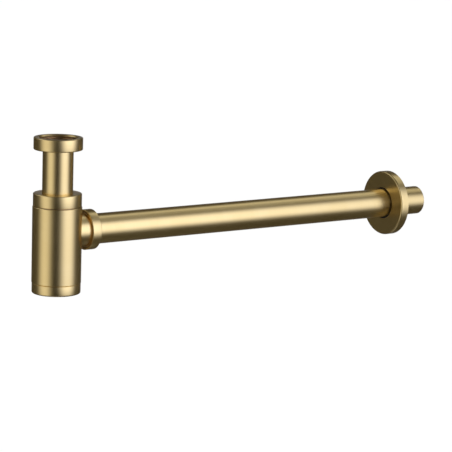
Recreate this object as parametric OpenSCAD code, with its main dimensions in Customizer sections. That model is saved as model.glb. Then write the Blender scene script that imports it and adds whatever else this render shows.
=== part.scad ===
// Basin trap: a bottle trap for a washbasin, with a swivel inlet union at the top, a body that holds
// the water seal, a cleanout cup underneath, and a long outlet tube that runs through a wall flange.
// The origin is the centre of the sealing washer's top face, where the basin waste's tail lands.
// +Z points up along the inlet tube, and +X runs along the outlet tube towards the wall. Millimetres.

/* [Tubes] */
// Outer diameter of the inlet and outlet tubes
tube_d = 32; // [30:0.5:34]
// Wall of both tubes
tube_wall = 1; // [0.8:0.1:1.2]
// Bare length of inlet tube between the inlet nut and the cap nut
inlet_bare = 45.3; // [44:0.1:90]
// How far the inlet tube dips below the outlet's axis
dip_depth = 45.5; // [36:0.5:46]
// Distance from the body's axis to the wall, which is the flange's back face
wall_reach = 437.8; // [120:0.1:600]
// Length of outlet tube that goes into the wall, past the flange's back face
wall_stub = 39.4; // [25:0.1:80]
// How far the outlet tube goes into its joint, from the outlet nut's outer face
outlet_insert = 14; // [12:0.5:18]
// How much the end that goes into the wall is turned down, on the radius
stub_step = 0.2; // [0.18:0.01:0.3]
// Full-size tube left past the flange, before that end starts
stub_lead = 1.4; // [0.5:0.1:4]

/* [Inlet union] */
// Outer diameter of the inlet nut
inlet_nut_d = 51; // [47:0.1:56]
// Height of the inlet nut
inlet_nut_h = 12.8; // [11:0.1:20]
// Bore of the inlet nut across its thread crests
inlet_thread_d = 39; // [37.6:0.1:41]
// Depth of the mouth's lead-in chamfer, on the radius
inlet_mouth = 1.45; // [0.5:0.05:2]
// Depth of the relief behind the inlet nut's thread, on the radius
inlet_relief = 0.8; // [0.5:0.1:1.2]
// Floor of the inlet nut, under the slip ring
inlet_floor = 1.6; // [1.2:0.05:2.5]
// Thickness of the inlet nut's slip ring
inlet_ring_t = 0.8; // [0.6:0.05:1.2]
// Thickness of the inlet washer
washer_t = 2; // [1.5:0.1:3]
// Thickness of the collar at the inlet tube's top
collar_t = 1.3; // [1:0.1:2]

/* [Body] */
// How far the body tube stands out past the cap nut, on the radius
body_stand = 0.5; // [0:0.05:2]
// Wall of the body tube
body_wall = 1.5; // [1:0.1:2]
// Length of the body tube
body_h = 80; // [74:0.5:100]
// Depth of the outlet's axis below the top of the body tube
outlet_drop = 27.3; // [25:0.1:34]
// How far the two thread rings reach into the body tube
ring_insert = 6; // [4:0.5:7]

/* [Cap joint] */
// Height of the cap nut
cap_nut_h = 13; // [12:0.1:16]
// Wall of the cap nut round its thread
cap_nut_wall = 1.7; // [1.2:0.1:2.5]
// Top wall of the cap nut
cap_nut_top = 2.55; // [1.8:0.05:3.5]
// Dark gap left between the cap nut and the body tube
cap_gap = 0.65; // [0.3:0.05:1]
// Space round the inlet tube in the neck ring
neck_space = 2.5; // [2:0.1:3]
// Width of the cap joint's conical seat
cap_seat = 3; // [2:0.1:5]
// Flat land left outside the cap joint's conical seat
cap_land = 1.5; // [0.8:0.1:2.5]

/* [Outlet joint] */
// Height of the outlet nut
outlet_nut_h = 10.4; // [9.5:0.1:12]
// Wall of the outlet nut round its thread
outlet_nut_wall = 2; // [1.4:0.1:3]
// Closed end wall of the outlet nut
outlet_nut_end = 2; // [1.4:0.1:2.4]
// Bare neck of the spigot between the body tube and the outlet nut
neck_bare = 5.8; // [4:0.1:10]
// How far inside the outlet nut's mouth the spigot's thread starts
thread_set = 1.5; // [0.5:0.1:3]
// Wall of the spigot's bare neck
neck_wall = 1.1; // [0.8:0.1:1.4]
// Width of the outlet joint's conical seat
outlet_seat = 1.9; // [1.2:0.1:3]
// Flat land left outside the outlet joint's conical seat
outlet_land = 0.6; // [0.3:0.1:1.5]

/* [Cleanout cup] */
// How far the cup stands back from the body tube, on the radius
cup_inset = 0.35; // [0:0.05:0.8]
// Height of the cup below the body tube
cup_h = 10.85; // [9:0.05:16]
// Height of the cup's thread inside the base ring
cup_thread_h = 7; // [5.5:0.1:7.5]
// Wall of the cup inside its thread
cup_wall = 3.3; // [3:0.1:3.6]
// Floor of the cup
cup_floor = 3.2; // [2:0.1:4]
// Radius of the cup's rounded lower edge
cup_round = 1.6; // [0.5:0.1:2.5]
// Fine groove left between the body tube and the cup
cup_gap = 0.15; // [0.1:0.05:0.5]
// Wall of the base ring round the cup's thread
base_ring_wall = 1.65; // [1.4:0.05:2]
// How far the base ring reaches above the cup's thread
base_ring_lead = 1.5; // [0.5:0.1:3]
// Depth of the O-ring's pocket in the base ring, on the radius
o_pocket = 0.6; // [0.5:0.05:0.8]

/* [Wall flange] */
// Outer diameter of the wall flange
flange_d = 72; // [60:0.5:90]
// Depth of the wall flange
flange_depth = 9.5; // [8.5:0.1:14]
// Front wall of the flange
flange_front = 2; // [1.5:0.1:2.5]
// Rim wall of the flange
flange_rim = 1.6; // [1.2:0.1:2.5]
// Radius of the flange's front edge
flange_round = 1.8; // [0.5:0.1:2]
// Space between the outlet tube and the edge of the flange's hole
flange_space = 1.7; // [1.2:0.1:2]
// Wall of the flange's inner collar
boss_wall = 1.8; // [1.2:0.1:3]
// How far the flange's inner collar stops short of the wall
boss_setback = 1.8; // [0.5:0.1:3]

/* [Seals and rings] */
// Thickness of the cap nut's and the outlet nut's slip rings
ring_t = 1; // [0.8:0.1:1.4]
// Thickness of a cone seal's flat head
seal_head = 2; // [1.5:0.1:2.5]
// Thickness of a cone seal at its thin end
seal_tip = 0.5; // [0.3:0.05:0.8]
// Thickness of the cord of the cup's O-ring
o_ring_t = 1.8; // [1.6:0.1:2]
// Wall of the rubber ring that grips the tube inside the flange
grip_wall = 2.45; // [1.5:0.05:3]

/* [Fits] */
// Radial gap of a seal on its tube
seal_fit = 0.05; // [0.02:0.01:0.1]
// Radial gap between a plain tube and a nut's hole
nut_fit = 0.35; // [0.3:0.05:0.6]
// Radial gap between mating threads, both drawn plain
thread_fit = 0.3; // [0.25:0.05:0.5]
// Gap between a cone seal and its seat
seat_fit = 0.2; // [0.1:0.05:0.3]
// Axial play either side of a slip ring
ring_play = 0.1; // [0.05:0.05:0.2]
// Radial gap between a slip ring and its tube
ring_fit = 0.1; // [0.05:0.01:0.15]
// Radial gap between the collar's stack and the inlet nut's thread crests
stack_fit = 0.3; // [0.2:0.05:0.5]
// Gap left for braze between two fixed pieces
braze_fit = 0.05; // [0.02:0.01:0.1]
// Axial play of the O-ring in its groove
o_groove_play = 0.4; // [0.2:0.05:0.6]
// Radial gap between the O-ring and the groove and pocket that it lies in
o_ring_fit = 0.1; // [0.05:0.01:0.15]

/* [Edges] */
// Chamfer on the outer edges of the nuts
nut_edge = 0.6; // [0.3:0.1:0.8]
// Chamfer on the body tube's ends and on the cup's upper edge
body_edge = 0.45; // [0.1:0.05:0.8]
// Fine chamfer on the other turned edges
fine_edge = 0.3; // [0.1:0.1:0.4]

/* [Hidden] */
$fn = 96;

// Facets of a rounded edge's circle
round_fn = 32;
// Overshoot of a cut past the face it opens
over = 1;

// Radii that the pieces share
tube_r = tube_d / 2;
tube_bore_r = tube_r - tube_wall;
seal_r = tube_r + seal_fit;
ring_r = tube_r + ring_fit;
nut_hole_r = tube_r + nut_fit;
inlet_bore_r = inlet_thread_d / 2;
stack_r = inlet_bore_r - stack_fit;
cap_bore_r = tube_r + neck_space;
cap_thread_r = cap_bore_r + cap_seat + cap_land + fine_edge;
cap_nut_r = cap_thread_r + thread_fit + cap_nut_wall;
body_r = cap_nut_r + body_stand;
body_bore_r = body_r - body_wall;
insert_r = body_bore_r - braze_fit;
outlet_bore_r = seal_r + seal_fit;
neck_r = outlet_bore_r + neck_wall;
outlet_thread_r = outlet_bore_r + outlet_seat + outlet_land + fine_edge;
outlet_nut_r = outlet_thread_r + thread_fit + outlet_nut_wall;
cup_r = body_r - cup_inset;
base_bore_r = insert_r - base_ring_wall;
cup_thread_r = base_bore_r - thread_fit;
cup_bore_r = cup_thread_r - cup_wall;

// Heights down from the washer's top face
collar_top = -washer_t;
collar_low = collar_top - collar_t;
inlet_shelf = collar_low - inlet_ring_t - ring_play;
inlet_nut_low = inlet_shelf - inlet_floor;
cap_top = inlet_nut_low - inlet_bare;
cap_low = cap_top - cap_nut_h;
body_top = cap_low - cap_gap;
body_low = body_top - body_h;
outlet_z = body_top - outlet_drop;
dip_z = outlet_z - dip_depth;
cup_top = body_low - cup_gap;
cup_low = cup_top - cup_h;

// A compression joint's stack, measured outwards from the end of its threaded neck
head_low = seat_fit;
head_top = head_low + seal_head;
ring_low = head_top + ring_play;
nut_shelf = ring_low + ring_t + ring_play;
cap_neck_z = cap_top - cap_nut_top - nut_shelf;

// Distances along the outlet, from the body's axis
outlet_nut_x = body_r + neck_bare;
outlet_nut_far_x = outlet_nut_x + outlet_nut_h;
spigot_x = outlet_nut_far_x - outlet_nut_end - nut_shelf;
outlet_tube_x = outlet_nut_far_x - outlet_insert;
outlet_tube_far_x = wall_reach + wall_stub;
stub_x = wall_reach + stub_lead;
flange_x = wall_reach - flange_depth;
thread_start_x = outlet_nut_x + thread_set;

// The cup's O-ring, in the corner between the cup's shoulder and the base ring
o_ring_r = o_ring_t / 2;
o_groove_w = o_ring_t + o_groove_play;
o_pocket_r = base_bore_r + o_pocket;
o_centre_r = o_pocket_r - o_ring_r - o_ring_fit;
o_groove_r = o_centre_r - o_ring_r - o_ring_fit;

// The rubber ring that holds the flange on the tube, and the collar round it
grip_r = seal_r + grip_wall;
boss_bore_r = grip_r + seal_fit;
boss_r = boss_bore_r + boss_wall;
boss_x = wall_reach - boss_setback;

brass = [0.80, 0.66, 0.41];
black_rubber = [0.10, 0.10, 0.10];
white_nylon = [0.90, 0.89, 0.85];

// Puts a shape turned about Z onto the outlet's axis, so that its +Z runs along +X
module along_outlet() {
    translate([0, 0, outlet_z]) rotate([0, 90, 0]) children();
}

// Turns a half section, drawn as [radius, height], about the Z axis
module turned() {
    rotate_extrude() children();
}

// What a rounded outer edge takes off a section at [r, z], with side 1 for an upper edge and -1 for a lower one
module edge_round(r, z, radius, side) {
    centre_z = z - side * radius;
    difference() {
        translate([r - radius, side > 0 ? centre_z : z - over]) square([radius + over, radius + over]);
        translate([r - radius, centre_z]) circle(r = radius, $fn = round_fn);
    }
}

// A flat washer from z0 up to z1
module plain_ring(r_in, r_out, z0, z1) {
    turned() translate([r_in, z0]) square([r_out - r_in, z1 - z0]);
}

// The half section of a plain tube with a fine chamfer on each outer edge
module tube_section(r_in, r_out, z0, z1, edge) {
    polygon([
        [r_in, z0], [r_out - edge, z0], [r_out, z0 + edge],
        [r_out, z1 - edge], [r_out - edge, z1], [r_in, z1]
    ]);
}

// The nut of a compression joint. Height 0 is the end of the neck, and the nut opens downwards
module compression_nut(nut_r, nut_h, wall, end_wall) {
    top = nut_shelf + end_wall;
    low = top - nut_h;
    bore_r = nut_r - wall;
    mouth = wall / 2;
    turned() polygon([
        [bore_r, nut_shelf], [bore_r, low + mouth], [bore_r + mouth, low],
        [nut_r - nut_edge / 2, low], [nut_r, low + nut_edge / 2],
        [nut_r, top - nut_edge], [nut_r - nut_edge, top],
        [nut_hole_r + fine_edge, top], [nut_hole_r, top - fine_edge], [nut_hole_r, nut_shelf]
    ]);
}

// The rubber seal of a compression joint: a flat head and a 45 degree cone that wedges into the neck
module cone_seal(bore_r, seat_w, head_r) {
    tip_r = max(bore_r, seal_r + seal_tip);
    tip_z = head_low + tip_r - bore_r - seat_w;
    turned() polygon([
        [seal_r, tip_z], [tip_r, tip_z], [bore_r + seat_w, head_low],
        [head_r, head_low], [head_r, head_top], [seal_r, head_top]
    ]);
}

// The plastic ring that lets the nut turn without twisting the seal
module slip_ring(head_r) {
    plain_ring(ring_r, head_r, ring_low, ring_low + ring_t);
}

// The inlet union: a nut that hangs on the collar of the inlet tube
module inlet_nut() {
    top = inlet_nut_low + inlet_nut_h;
    nut_r = inlet_nut_d / 2;
    relief_r = inlet_bore_r + inlet_relief;
    color(brass) turned() difference() {
        polygon([
            [nut_hole_r, inlet_nut_low], [nut_r, inlet_nut_low],
            [nut_r, top - nut_edge], [nut_r - nut_edge, top],
            [inlet_bore_r + inlet_mouth, top], [inlet_bore_r, top - inlet_mouth],
            [inlet_bore_r, 0], [relief_r, -inlet_relief],
            [relief_r, inlet_shelf], [nut_hole_r, inlet_shelf]
        ]);
        edge_round(nut_r, inlet_nut_low, nut_edge * 2, -1);
    }
}

module inlet_slip_ring() {
    low = inlet_shelf + ring_play / 2;
    color(white_nylon) plain_ring(ring_r, stack_r, low, low + inlet_ring_t);
}

module inlet_washer() {
    color(black_rubber) plain_ring(tube_bore_r, stack_r, collar_top, 0);
}

// One long tube with a collar at its top. Its lower end dips into the water that the trap holds
module inlet_tube() {
    color(brass) turned() polygon([
        [tube_bore_r, dip_z], [tube_r - fine_edge, dip_z], [tube_r, dip_z + fine_edge],
        [tube_r, collar_low], [stack_r, collar_low],
        [stack_r, collar_top], [tube_bore_r, collar_top]
    ]);
}

module cap_nut() {
    color(brass) translate([0, 0, cap_neck_z])
        compression_nut(cap_nut_r, cap_nut_h, cap_nut_wall, cap_nut_top);
}

module cap_slip_ring() {
    color(white_nylon) translate([0, 0, cap_neck_z]) slip_ring(cap_thread_r - fine_edge);
}

module cap_cone_seal() {
    color(black_rubber) translate([0, 0, cap_neck_z])
        cone_seal(cap_bore_r, cap_seat, cap_thread_r - fine_edge);
}

// The body is a plain tube with a hole in its side, where the spigot is brazed in
module body_tube() {
    color(brass) difference() {
        turned() tube_section(body_bore_r, body_r, body_low, body_top, body_edge);
        along_outlet() cylinder(r = neck_r + braze_fit, h = body_r + over);
    }
}

// A turned ring brazed into the top of the body tube. It carries the cap nut's thread and the seat
module neck_ring() {
    color(brass) turned() polygon([
        [cap_bore_r, body_top - ring_insert], [insert_r, body_top - ring_insert],
        [insert_r, body_top], [cap_thread_r, body_top],
        [cap_thread_r, cap_neck_z - fine_edge], [cap_thread_r - fine_edge, cap_neck_z],
        [cap_bore_r + cap_seat, cap_neck_z], [cap_bore_r, cap_neck_z - cap_seat]
    ]);
}

// A turned ring brazed into the foot of the body tube. The cup screws up into it
module base_ring() {
    top = body_low + cup_thread_h + base_ring_lead;
    pocket_top = body_low + o_groove_w + o_groove_play;
    color(brass) turned() polygon([
        [base_bore_r, top], [base_bore_r, pocket_top + o_pocket],
        [o_pocket_r, pocket_top], [o_pocket_r, body_low],
        [insert_r, body_low], [insert_r, top]
    ]);
}

// The side outlet: a saddled neck through the body wall, and a threaded end with a conical seat
module outlet_spigot() {
    color(brass) difference() {
        along_outlet() turned() polygon([
            [outlet_bore_r, 0], [neck_r, 0], [neck_r, thread_start_x],
            [outlet_thread_r - fine_edge, thread_start_x], [outlet_thread_r, thread_start_x + fine_edge],
            [outlet_thread_r, spigot_x - fine_edge], [outlet_thread_r - fine_edge, spigot_x],
            [outlet_bore_r + outlet_seat, spigot_x], [outlet_bore_r, spigot_x - outlet_seat]
        ]);
        translate([0, 0, body_low]) cylinder(r = body_bore_r - fine_edge, h = body_h);
    }
}

// The cup is turned from bar: a bowl that catches what falls, a threaded collar and an O-ring groove
module cleanout_cup() {
    thread_top = cup_top + cup_thread_h;
    floor_z = cup_low + cup_floor;
    color(brass) turned() difference() {
        polygon([
            [0, cup_low], [cup_r, cup_low],
            [cup_r, cup_top - body_edge], [cup_r - body_edge, cup_top],
            [o_groove_r, cup_top], [o_groove_r, cup_top + o_groove_w],
            [cup_thread_r, cup_top + o_groove_w], [cup_thread_r, thread_top - fine_edge],
            [cup_thread_r - fine_edge, thread_top], [cup_bore_r, thread_top],
            [cup_bore_r, floor_z + cup_round], [cup_bore_r - cup_round, floor_z], [0, floor_z]
        ]);
        edge_round(cup_r, cup_low, cup_round, -1);
    }
}

module cup_o_ring() {
    color(black_rubber) turned()
        translate([o_centre_r, cup_top + o_groove_w / 2]) circle(r = o_ring_r, $fn = round_fn);
}

module outlet_nut() {
    color(brass) along_outlet() translate([0, 0, spigot_x])
        compression_nut(outlet_nut_r, outlet_nut_h, outlet_nut_wall, outlet_nut_end);
}

module outlet_slip_ring() {
    color(white_nylon) along_outlet() translate([0, 0, spigot_x])
        slip_ring(outlet_thread_r - fine_edge);
}

module outlet_cone_seal() {
    color(black_rubber) along_outlet() translate([0, 0, spigot_x])
        cone_seal(outlet_bore_r, outlet_seat, outlet_thread_r - fine_edge);
}

// A straight tube. The end that goes into the wall is turned down a little for the wall's own seal
module outlet_tube() {
    stub_r = tube_r - stub_step;
    stub_round = tube_wall / 2;
    color(brass) along_outlet() turned() difference() {
        polygon([
            [tube_bore_r, outlet_tube_x], [tube_r - fine_edge, outlet_tube_x],
            [tube_r, outlet_tube_x + fine_edge], [tube_r, stub_x - stub_step],
            [stub_r, stub_x], [stub_r, outlet_tube_far_x], [tube_bore_r, outlet_tube_far_x]
        ]);
        edge_round(stub_r, outlet_tube_far_x, stub_round, 1);
    }
}

// A shallow dish, open towards the wall. Its inner collar holds the grip ring
module wall_flange() {
    flange_r = flange_d / 2;
    hole_r = tube_r + flange_space;
    inner_x = flange_x + flange_front;
    rim_r = flange_r - flange_rim;
    color(brass) along_outlet() turned() difference() {
        polygon([
            [hole_r, flange_x], [flange_r, flange_x], [flange_r, wall_reach], [rim_r, wall_reach],
            [rim_r, inner_x + fine_edge], [rim_r - fine_edge, inner_x], [boss_r, inner_x],
            [boss_r, boss_x], [boss_bore_r, boss_x], [boss_bore_r, inner_x], [hole_r, inner_x]
        ]);
        edge_round(flange_r, flange_x, flange_round, -1);
    }
}

module flange_grip_ring() {
    color(black_rubber) along_outlet()
        plain_ring(seal_r, grip_r, flange_x + flange_front + ring_play, boss_x - ring_play);
}

inlet_nut();
inlet_slip_ring();
inlet_washer();
inlet_tube();
cap_nut();
cap_slip_ring();
cap_cone_seal();
body_tube();
neck_ring();
base_ring();
outlet_spigot();
cleanout_cup();
cup_o_ring();
outlet_nut();
outlet_slip_ring();
outlet_cone_seal();
outlet_tube();
wall_flange();
flange_grip_ring();
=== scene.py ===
"""A basin trap in brushed brass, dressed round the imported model.

The turned pieces that carry a thread are rebuilt here with the real thread and stand for their
plain solids. The other pieces keep their CAD mesh and get their finish here. Metres, in the
model's own frame: +Z up along the inlet tube, +X along the outlet tube.
"""

import math

import bmesh
import bpy
from mathutils import Matrix, Vector


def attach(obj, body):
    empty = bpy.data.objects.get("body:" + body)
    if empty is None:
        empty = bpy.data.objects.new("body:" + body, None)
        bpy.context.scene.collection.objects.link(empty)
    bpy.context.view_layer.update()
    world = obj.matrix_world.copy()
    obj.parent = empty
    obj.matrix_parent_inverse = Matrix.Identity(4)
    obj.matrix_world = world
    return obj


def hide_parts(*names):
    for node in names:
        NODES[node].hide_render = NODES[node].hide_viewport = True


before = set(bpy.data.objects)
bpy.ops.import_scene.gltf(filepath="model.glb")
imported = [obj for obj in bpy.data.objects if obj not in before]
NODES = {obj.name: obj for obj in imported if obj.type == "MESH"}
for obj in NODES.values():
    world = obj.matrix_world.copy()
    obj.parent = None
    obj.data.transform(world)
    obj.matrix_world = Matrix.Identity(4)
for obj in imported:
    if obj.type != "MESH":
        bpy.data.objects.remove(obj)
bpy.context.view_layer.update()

MM = 0.001
SCENE = bpy.context.scene

# Heights and distances that the pieces share, in millimetres, as the model has them
OUTLET_Z = -92.05
NECK_TOP = -57.05
BODY_TOP = -64.75
BODY_LOW = -144.75
CUP_TOP = -144.9
SPIGOT_X = 36.6


def make_camera():
    """The camera as solved from the photograph, whose frame is 452 by 452."""
    azimuth, elevation, roll = (math.radians(v) for v in (-34.981, 10.010, 1.627))
    back = Vector((
        math.sin(azimuth) * math.cos(elevation),
        -math.cos(azimuth) * math.cos(elevation),
        math.sin(elevation),
    ))
    right = Vector((math.cos(azimuth), math.sin(azimuth), 0))
    up = back.cross(right)
    cam_x = right * math.cos(roll) + up * math.sin(roll)
    cam_y = up * math.cos(roll) - right * math.sin(roll)
    data = bpy.data.cameras.new("camera")
    data.sensor_width = 36
    data.lens = 2352.168 / 452 * data.sensor_width
    data.clip_start, data.clip_end = 0.05, 200
    cam = bpy.data.objects.new("camera", data)
    rows = zip(cam_x, cam_y, back, (-1.228438, -2.059949, 0.341537))
    cam.matrix_world = Matrix([list(r) for r in rows] + [[0, 0, 0, 1]])
    SCENE.collection.objects.link(cam)
    SCENE.camera = cam


make_camera()


class Graph:
    """A short way to build a node tree."""

    def __init__(self, tree):
        self.tree = tree
        tree.nodes.clear()

    def add(self, kind, inputs=None, **settings):
        node = self.tree.nodes.new(kind)
        for key, value in settings.items():
            setattr(node, key, value)
        for key, value in (inputs or {}).items():
            socket = node.inputs[key]
            if isinstance(value, bpy.types.NodeSocket):
                self.tree.links.new(value, socket)
            else:
                socket.default_value = value
        return node

    def math(self, operation, a, b=0.0, clamp=False):
        node = self.add("ShaderNodeMath", {0: a, 1: b}, operation=operation, use_clamp=clamp)
        return node.outputs[0]

    def dot(self, vector, axis):
        node = self.add("ShaderNodeVectorMath", {0: vector, 1: tuple(axis)}, operation="DOT_PRODUCT")
        return node.outputs["Value"]

    def ramp(self, value, low, high, to_low=0.0, to_high=1.0, smooth=True):
        node = self.add(
            "ShaderNodeMapRange",
            {"Value": value, "From Min": low, "From Max": high, "To Min": to_low, "To Max": to_high},
            interpolation_type="SMOOTHERSTEP" if smooth else "LINEAR",
        )
        return node.outputs["Result"]

    def noise(self, vector, scale, detail=2.0, roughness=0.5):
        node = self.add(
            "ShaderNodeTexNoise",
            {"Vector": vector, "Scale": scale, "Detail": detail, "Roughness": roughness},
        )
        return node.outputs["Fac"]

    def mix(self, factor, a, b):
        node = self.add("ShaderNodeMix", data_type="RGBA")
        for socket, value in zip((node.inputs[0], node.inputs[6], node.inputs[7]), (factor, a, b)):
            if isinstance(value, bpy.types.NodeSocket):
                self.tree.links.new(value, socket)
            else:
                socket.default_value = value
        return node.outputs[2]


def new_material(name):
    material = bpy.data.materials.new(name)
    material.use_nodes = True
    return material, Graph(material.node_tree)


# A finish of the brass: low tone, high tone, tone of the lines, roughness
BRUSHED = ((0.885, 0.68, 0.305, 1), (0.915, 0.71, 0.33, 1), (0.80, 0.585, 0.25, 1), 0.293)
# The second finish: bare machined brass for threads, bores and hollows, made darker and duller than the
# plated brass, as painted shade in those recesses
MACHINED_WITH_SHADE = ((0.66, 0.49, 0.29, 1), (0.74, 0.56, 0.34, 1), (0.50, 0.35, 0.19, 1), 0.34)


def brass(name, finish, along_x=False):
    """Brass with lines that run round the piece's own axis, as the brush or the lathe left them."""
    low_tone, high_tone, line_tone, base_rough = finish
    material, g = new_material(name)
    place = g.add("ShaderNodeTexCoord").outputs["Object"]
    if along_x:
        place = g.add(
            "ShaderNodeVectorMath", {0: place, 1: (0, 0, -OUTLET_Z * MM)}, operation="ADD"
        ).outputs[0]
    parts = g.add("ShaderNodeSeparateXYZ", {0: place}).outputs
    axial, side, other = (parts[0], parts[1], parts[2]) if along_x else (parts[2], parts[0], parts[1])
    squares = g.math("ADD", g.math("MULTIPLY", side, side), g.math("MULTIPLY", other, other))
    across = g.math("ADD", axial, g.math("SQRT", squares))
    # Long features round the axis, fine ones across it
    scales = ((side, 26), (other, 26), (across, 2600))
    stretched = [g.math("MULTIPLY", value, scale) for value, scale in scales]
    line_place = g.add("ShaderNodeCombineXYZ", dict(enumerate(stretched))).outputs[0]
    lines = g.noise(line_place, 1.0, 3.0, 0.62)
    cloud = g.noise(place, 34, 3.0, 0.55)
    colour = g.mix(g.ramp(cloud, 0.35, 0.68), low_tone, high_tone)
    colour = g.mix(g.ramp(lines, 0.40, 0.78, 0.0, 0.16), colour, line_tone)
    rough = g.ramp(lines, 0.3, 0.75, base_rough - 0.008, base_rough + 0.010)
    rough = g.math("ADD", rough, g.ramp(cloud, 0.3, 0.7, -0.005, 0.005))
    bump = g.add("ShaderNodeBump", {"Strength": 0.02, "Distance": 0.00004, "Height": lines})
    shader = g.add(
        "ShaderNodeBsdfPrincipled",
        {
            "Base Color": colour,
            "Metallic": 1.0,
            "Roughness": rough,
            "Normal": bump.outputs[0],
        },
    )
    g.add("ShaderNodeOutputMaterial", {"Surface": shader.outputs[0]})
    return material


def soft_plastic(name, colour, darker, rough, grain, strength):
    """A matt moulded surface with a fine grain: rubber or nylon."""
    material, g = new_material(name)
    place = g.add("ShaderNodeTexCoord").outputs["Object"]
    speck = g.noise(place, grain, 4.0, 0.6)
    cloud = g.noise(place, 60, 2.0, 0.5)
    shade = g.mix(g.ramp(cloud, 0.3, 0.7), darker, colour)
    bump = g.add("ShaderNodeBump", {"Strength": strength, "Distance": 0.00005, "Height": speck})
    shader = g.add(
        "ShaderNodeBsdfPrincipled",
        {
            "Base Color": shade,
            "Roughness": g.ramp(speck, 0.3, 0.7, rough - 0.06, rough + 0.06),
            "Normal": bump.outputs[0],
        },
    )
    g.add("ShaderNodeOutputMaterial", {"Surface": shader.outputs[0]})
    return material


BRASS_Z = brass("brushed_brass_upright", BRUSHED)
BRASS_X = brass("brushed_brass_outlet", BRUSHED, along_x=True)
# Second material of the turned pieces: the machined finish, whose darker tone is a painted shade for
# threads, bores and hollows
SHADED_MACHINED_Z = brass("machined_brass_with_painted_shade_upright", MACHINED_WITH_SHADE)
SHADED_MACHINED_X = brass("machined_brass_with_painted_shade_outlet", MACHINED_WITH_SHADE, along_x=True)
RUBBER = soft_plastic("black_rubber", (0.022, 0.022, 0.023, 1), (0.014, 0.014, 0.015, 1), 0.62, 2600, 0.25)
NYLON = soft_plastic("white_nylon", (0.80, 0.79, 0.74, 1), (0.72, 0.70, 0.64, 1), 0.42, 1400, 0.12)


def dress(obj, material):
    obj.data.materials.clear()
    obj.data.materials.append(material)
    for face in obj.data.polygons:
        face.material_index = 0


for node, material in {
    "inlet_tube": BRASS_Z,
    "body_tube": BRASS_Z,
    "outlet_tube": BRASS_X,
    "wall_flange": BRASS_X,
    "inlet_washer": RUBBER,
    "cap_cone_seal": RUBBER,
    "cup_o_ring": RUBBER,
    "outlet_cone_seal": RUBBER,
    "flange_grip_ring": RUBBER,
    "inlet_slip_ring": NYLON,
    "cap_slip_ring": NYLON,
    "outlet_slip_ring": NYLON,
}.items():
    dress(NODES[node], material)


SEGMENTS = 192
THREAD_STEP = 0.12


def rounded(points):
    """A closed half section with its corners rounded. Each point is (radius, height, corner radius)."""
    out = []
    count = len(points)
    for i, (r, z, corner) in enumerate(points):
        here = Vector((r, z))
        if not corner:
            out.append((r, z))
            continue
        before = Vector(points[i - 1][:2]) - here
        after = Vector(points[(i + 1) % count][:2]) - here
        half = before.angle(after) / 2
        reach = corner / math.tan(half)
        start = here + before.normalized() * reach
        centre = here + (before.normalized() + after.normalized()).normalized() * (corner / math.sin(half))
        end = here + after.normalized() * reach
        a0 = math.atan2(start.y - centre.y, start.x - centre.x)
        a1 = math.atan2(end.y - centre.y, end.x - centre.x)
        turn = (a1 - a0 + math.pi) % (2 * math.pi) - math.pi
        steps = max(2, round(abs(turn) / math.radians(18)))
        for k in range(steps + 1):
            a = a0 + turn * k / steps
            out.append((centre.x + corner * math.cos(a), centre.y + corner * math.sin(a)))
    return out


def thread_cut(height, angle, low, high, pitch, fade):
    """How deep a helical V groove is at this height and angle, from 0 on the crest to 1 at the root."""
    phase = (height / pitch - angle / (2 * math.pi)) % 1
    wave = abs(2 * phase - 1)
    flat = 0.12
    depth = min(max((wave - flat) / (1 - 2 * flat), 0), 1)
    ends = min((height - low) / fade, (high - height) / fade, 1)
    return depth * max(ends, 0)


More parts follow.
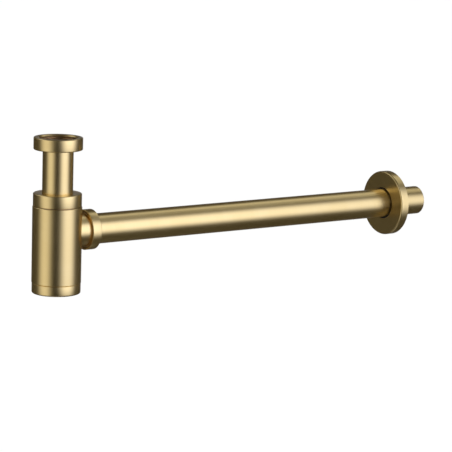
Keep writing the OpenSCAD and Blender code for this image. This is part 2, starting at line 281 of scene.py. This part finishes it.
def turned(name, body, node, points, material, axis="z", thread=None, start_at=None, machined_shade_at=None):
    """A turned piece, from a closed half section in millimetres.

    thread is (radius, low, high, pitch, depth, fade): the wall at that radius gets a groove,
    outwards where depth is over 0. start_at(radius, angle) gives the least height of a ring point.
    The last argument, a test of (radius, height), says where the surface gets the machined finish: bare
    machined brass, made darker as painted shade in the recesses.
    """
    outline = rounded(points)
    rings = []
    count = len(outline)
    for i, (r0, z0) in enumerate(outline):
        r1, z1 = outline[(i + 1) % count]
        rings.append((r0, z0, False))
        if not thread:
            continue
        radius, low, high = thread[:3]
        on_wall = abs(r0 - radius) < 1e-6 and abs(r1 - radius) < 1e-6
        if on_wall and min(z0, z1) <= low + 1e-6 and max(z0, z1) >= high - 1e-6:
            steps = round((high - low) / THREAD_STEP)
            heights = [low + (high - low) * k / steps for k in range(steps + 1)]
            if z1 < z0:
                heights.reverse()
            rings += [(radius, h, True) for h in heights if abs(h - z0) > 1e-6 and abs(h - z1) > 1e-6]
    mesh = bmesh.new()
    grid = []
    for r, z, cut in rings:
        if r < 1e-9:
            grid.append([mesh.verts.new((0, 0, z * MM))])
            continue
        row = []
        for k in range(SEGMENTS):
            angle = 2 * math.pi * k / SEGMENTS
            radius, height = r, z
            if cut:
                _, low, high, pitch, depth, fade = thread
                radius += depth * thread_cut(z, angle, low, high, pitch, fade)
            if start_at:
                height = max(height, start_at(radius, angle))
            row.append(mesh.verts.new((
                radius * math.cos(angle) * MM,
                radius * math.sin(angle) * MM,
                height * MM,
            )))
        grid.append(row)
    for i, row in enumerate(grid):
        following = grid[(i + 1) % len(grid)]
        if len(row) == 1 and len(following) == 1:
            continue
        # Faces in threads, bores and hollows take the machined finish, whose darker tone is painted shade
        left_machined_shade = bool(machined_shade_at) and all(machined_shade_at(*rings[j % len(rings)][:2]) for j in (i, i + 1))
        first_face = len(mesh.faces)
        for k in range(SEGMENTS):
            n = (k + 1) % SEGMENTS
            if len(row) == 1:
                mesh.faces.new((row[0], following[k], following[n]))
            elif len(following) == 1:
                mesh.faces.new((row[k], row[n], following[0]))
            else:
                mesh.faces.new((row[k], row[n], following[n], following[k]))
        mesh.faces.ensure_lookup_table()
        for face in mesh.faces[first_face:]:
            face.material_index = int(left_machined_shade)
    if axis == "x":
        # The section's height runs along +X, and its angle 0 points down
        mesh.transform(Matrix.Translation((0, 0, OUTLET_Z * MM)) @ Matrix.Rotation(math.pi / 2, 4, "Y"))
    bmesh.ops.recalc_face_normals(mesh, faces=mesh.faces)
    data = bpy.data.meshes.new(name)
    mesh.to_mesh(data)
    mesh.free()
    for face in data.polygons:
        face.use_smooth = True
    data.set_sharp_from_angle(angle=math.radians(24))
    piece = bpy.data.objects.new(name, data)
    SCENE.collection.objects.link(piece)
    data.materials.append(material)
    # The machined finish, darker as painted shade, for the recess faces
    data.materials.append(SHADED_MACHINED_X if axis == "x" else SHADED_MACHINED_Z)
    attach(piece, body)
    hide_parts(node)
    return piece


def compression_nut(name, body, node, nut_r, nut_h, wall, end_wall, place, material, axis):
    """The nut of a compression joint, open towards its neck. place is the height of the neck's end."""
    shelf = place + 3.4
    top = shelf + end_wall
    low = top - nut_h
    bore = nut_r - wall
    mouth = wall / 2
    edge = 0.6
    turned(
        name, body, node,
        [
            (bore, shelf, 0), (bore, low + mouth, 0.1), (bore + mouth, low, 0.12),
            (nut_r - edge / 2, low, 0.1), (nut_r, low + edge / 2, 0.1),
            (nut_r, top - edge, 0.15), (nut_r - edge, top, 0.15),
            (16.65, top, 0.1), (16.35, top - 0.3, 0.1), (16.35, shelf, 0),
        ],
        material, axis,
        thread=(bore, low + mouth + 0.2, shelf - 1.2, 1.5, min(0.72, wall * 0.42), 0.8),
        machined_shade_at=lambda r, z: r <= bore + mouth + 0.01 and z < shelf + 0.01,
    )


turned(
    "inlet_nut_threaded", "inlet_nut", "inlet_nut",
    [
        (16.35, -5.8, 0.1), (25.5, -5.8, 1.2), (25.5, 6.4, 0.2), (24.9, 7.0, 0.2),
        (20.95, 7.0, 0.15), (19.5, 5.55, 0), (19.5, 0, 0), (20.3, -0.8, 0),
        (20.3, -4.2, 0), (16.35, -4.2, 0),
    ],
    BRASS_Z, thread=(19.5, 0.3, 5.4, 2.309, 1.25, 0.5),
    machined_shade_at=lambda r, z: r <= 20.96 and -4.21 <= z <= 5.56,
)
compression_nut("cap_nut_threaded", "cap_nut", "cap_nut", 25.3, 13.0, 1.7, 2.55, NECK_TOP, BRASS_Z, "z")
compression_nut(
    "outlet_nut_threaded", "outlet_nut", "outlet_nut", 21.2, 10.4, 2.0, 2.0, SPIGOT_X, BRASS_X, "x"
)
turned(
    "neck_ring_threaded", "body", "neck_ring",
    [
        (18.5, BODY_TOP - 6, 0), (24.25, BODY_TOP - 6, 0), (24.25, BODY_TOP, 0), (23.3, BODY_TOP, 0),
        (23.3, NECK_TOP - 0.3, 0), (23.0, NECK_TOP, 0), (21.5, NECK_TOP, 0.1), (18.5, NECK_TOP - 3, 0.2),
    ],
    BRASS_Z, thread=(23.3, BODY_TOP + 0.4, NECK_TOP - 0.35, 1.5, -0.75, 0.5),
    machined_shade_at=lambda r, z: True,
)
turned(
    "base_ring_threaded", "body", "base_ring",
    [
        (22.6, BODY_LOW + 8.5, 0), (22.6, BODY_LOW + 3.2, 0), (23.2, BODY_LOW + 2.6, 0),
        (23.2, BODY_LOW, 0), (24.25, BODY_LOW, 0), (24.25, BODY_LOW + 8.5, 0),
    ],
    BRASS_Z, thread=(22.6, BODY_LOW + 3.4, BODY_LOW + 8.3, 1.5, 0.7, 0.5),
    machined_shade_at=lambda r, z: True,
)
turned(
    "cleanout_cup_threaded", "cup", "cleanout_cup",
    [
        (0, -155.75, 0), (25.45, -155.75, 1.6), (25.45, CUP_TOP - 0.45, 0.15), (25.0, CUP_TOP, 0.15),
        (21.2, CUP_TOP, 0.1), (21.2, CUP_TOP + 2.2, 0), (22.3, CUP_TOP + 2.2, 0),
        (22.3, CUP_TOP + 6.7, 0), (22.0, CUP_TOP + 7, 0), (19, CUP_TOP + 7, 0.2),
        (19, -150.95, 0), (17.4, -152.55, 0.6), (0, -152.55, 0),
    ],
    BRASS_Z, thread=(22.3, CUP_TOP + 2.3, CUP_TOP + 6.6, 1.5, -0.72, 0.5),
    machined_shade_at=lambda r, z: r <= 22.31 and z > -152.6,
)


def body_bore(radius, angle):
    """Where a point of the spigot meets the inside of the body, from the body's axis."""
    return math.sqrt(max(24.0 ** 2 - (radius * math.sin(angle)) ** 2, 0))


turned(
    "outlet_spigot_threaded", "body", "outlet_spigot",
    [
        (16.1, 10, 0), (17.2, 10, 0), (17.2, 33.1, 0.2), (18.6, 33.1, 0), (18.9, 33.4, 0),
        (18.9, 36.3, 0), (18.6, SPIGOT_X, 0), (18.0, SPIGOT_X, 0.1), (16.1, 34.7, 0.2),
    ],
    BRASS_X, "x", thread=(18.9, 33.45, 36.25, 1.5, -0.72, 0.3), start_at=body_bore,
    machined_shade_at=lambda r, z: r < 16.11 or z >= 33.09,
)


def plane(name, size, place, material):
    data = bpy.data.meshes.new(name)
    half = size / 2
    data.from_pydata(
        [(-half, -half, 0), (half, -half, 0), (half, half, 0), (-half, half, 0)], [], [(0, 1, 2, 3)]
    )
    obj = bpy.data.objects.new(name, data)
    obj.location = place
    SCENE.collection.objects.link(obj)
    obj.data.materials.append(material)
    return obj


def make_floor():
    material, g = new_material("pale_floor")
    place = g.add("ShaderNodeTexCoord").outputs["Object"]
    speck = g.noise(place, 3.0, 3.0, 0.5)
    paint = g.add(
        "ShaderNodeBsdfDiffuse", {"Color": g.mix(speck, (0.90, 0.90, 0.90, 1), (0.93, 0.93, 0.93, 1))}
    )
    rays = g.add("ShaderNodeLightPath").outputs
    seen = g.math("MAXIMUM", rays["Is Camera Ray"], rays["Is Glossy Ray"])
    seen = g.math("MAXIMUM", seen, rays["Is Transmission Ray"])
    glow = g.add("ShaderNodeEmission", {"Color": (1, 1, 1, 1), "Strength": 1.03})
    share = g.math("MULTIPLY", seen, 0.9)
    pale = g.add("ShaderNodeMixShader", {0: share, 1: paint.outputs[0], 2: glow.outputs[0]})
    # From below, the floor doesn't hide the object
    under = g.add("ShaderNodeNewGeometry").outputs["Backfacing"]
    clear = g.add("ShaderNodeBsdfTransparent")
    mixed = g.add("ShaderNodeMixShader", {0: under, 1: pale.outputs[0], 2: clear.outputs[0]})
    g.add("ShaderNodeOutputMaterial", {"Surface": mixed.outputs[0]})
    floor = plane("floor", 80, (0, 0, -0.62), material)
    floor.visible_glossy = False


def make_world():
    world = bpy.data.worlds.new("world")
    SCENE.world = world
    world.use_nodes = True
    g = Graph(world.node_tree)
    rays = g.add("ShaderNodeLightPath").outputs
    seen = g.math("MAXIMUM", rays["Is Camera Ray"], rays["Is Glossy Ray"])
    seen = g.math("MAXIMUM", seen, rays["Is Transmission Ray"])
    white = g.add("ShaderNodeBackground", {"Color": (1, 1, 1, 1), "Strength": 1.0})
    soft = g.add("ShaderNodeBackground", {"Color": (1, 1, 1, 1), "Strength": 0.9})
    mixed = g.add("ShaderNodeMixShader", {0: seen, 1: soft.outputs[0], 2: white.outputs[0]})
    g.add("ShaderNodeOutputWorld", {"Surface": mixed.outputs[0]})


def direction(azimuth, elevation):
    """A unit vector at an angle round from the camera's side, positive to the right, and up."""
    a = math.radians(-125.0 + azimuth)
    e = math.radians(elevation)
    return Vector((math.cos(a) * math.cos(e), math.sin(a) * math.cos(e), math.sin(e)))


# The light tent's flag in front, then its lit openings: azimuth, elevation, half width, half height,
# edge, colour. A later one lies over an earlier one.
OPENINGS = [
    (-1, -4, 17, 70, 10, (0.012, 0.011, 0.007)),
    (56, 12, 31, 32, 24, (1.42, 1.48, 1.84)),
    (-52, 2, 24, 38, 22, (0.86, 0.85, 0.85)),
    (134, 54, 15, 14, 9, (0.82, 0.83, 0.84)),
    (100, 58, 20, 9, 9, (0.26, 0.26, 0.26)),
    (-100, 44, 24, 14, 10, (0.70, 0.71, 0.74)),
    (180, -9, 18, 20, 8, (0.36, 0.38, 0.45)),
    (0, -90, 18, 18, 9, (0.36, 0.37, 0.40)),
]
TENT_DARK = (0.060, 0.054, 0.041, 1)


def make_tent():
    """Dark panels with soft lit openings round the object, that only its reflections see."""
    material, g = new_material("light_tent")
    place = g.add("ShaderNodeTexCoord").outputs["Object"]
    way = g.add("ShaderNodeVectorMath", {0: place}, operation="NORMALIZE").outputs[0]
    colour = TENT_DARK
    for azimuth, elevation, width, height, edge, light in OPENINGS:
        centre = direction(azimuth, elevation)
        side = Vector((-centre.y, centre.x, 0)).normalized()
        up = centre.cross(side)
        ahead = g.dot(way, centre)
        masks = []
        for axis, half in ((side, width), (up, height)):
            turn = g.math("ARCTAN2", g.dot(way, axis), ahead)
            turn = g.math("ABSOLUTE", turn)
            outer, inner = math.radians(half + edge), math.radians(half - edge)
            masks.append(g.ramp(turn, inner, outer, 1.0, 0.0))
        mask = g.math("MULTIPLY", masks[0], masks[1])
        colour = g.mix(mask, colour, (*light, 1))
    glow = g.add("ShaderNodeEmission", {"Color": colour, "Strength": 1.0})
    g.add("ShaderNodeOutputMaterial", {"Surface": glow.outputs[0]})
    material.cycles.emission_sampling = "NONE"
    mesh = bmesh.new()
    bmesh.ops.create_uvsphere(mesh, u_segments=64, v_segments=32, radius=3.0)
    data = bpy.data.meshes.new("light_tent")
    mesh.to_mesh(data)
    mesh.free()
    tent = bpy.data.objects.new("light_tent", data)
    tent.location = (0.10, 0, OUTLET_Z * MM)
    SCENE.collection.objects.link(tent)
    data.materials.append(material)
    for ray in ("camera", "diffuse", "transmission", "volume_scatter", "shadow"):
        setattr(tent, "visible_" + ray, False)


def lamp(name, place, size, watts):
    data = bpy.data.lights.new(name, "AREA")
    data.shape, data.size, data.energy = "DISK", size, watts
    obj = bpy.data.objects.new(name, data)
    obj.location = place
    aim = Vector((0.2, 0, -0.08)) - Vector(place)
    obj.rotation_mode = "QUATERNION"
    obj.rotation_quaternion = aim.to_track_quat("-Z", "Y")
    obj.visible_glossy = False
    SCENE.collection.objects.link(obj)


make_floor()
make_world()
make_tent()
lamp("key", (1.6, -2.4, 2.6), 1.6, 9)
lamp("fill", (-2.6, -0.6, 1.8), 1.8, 5)

SCENE.view_settings.view_transform = "Standard"
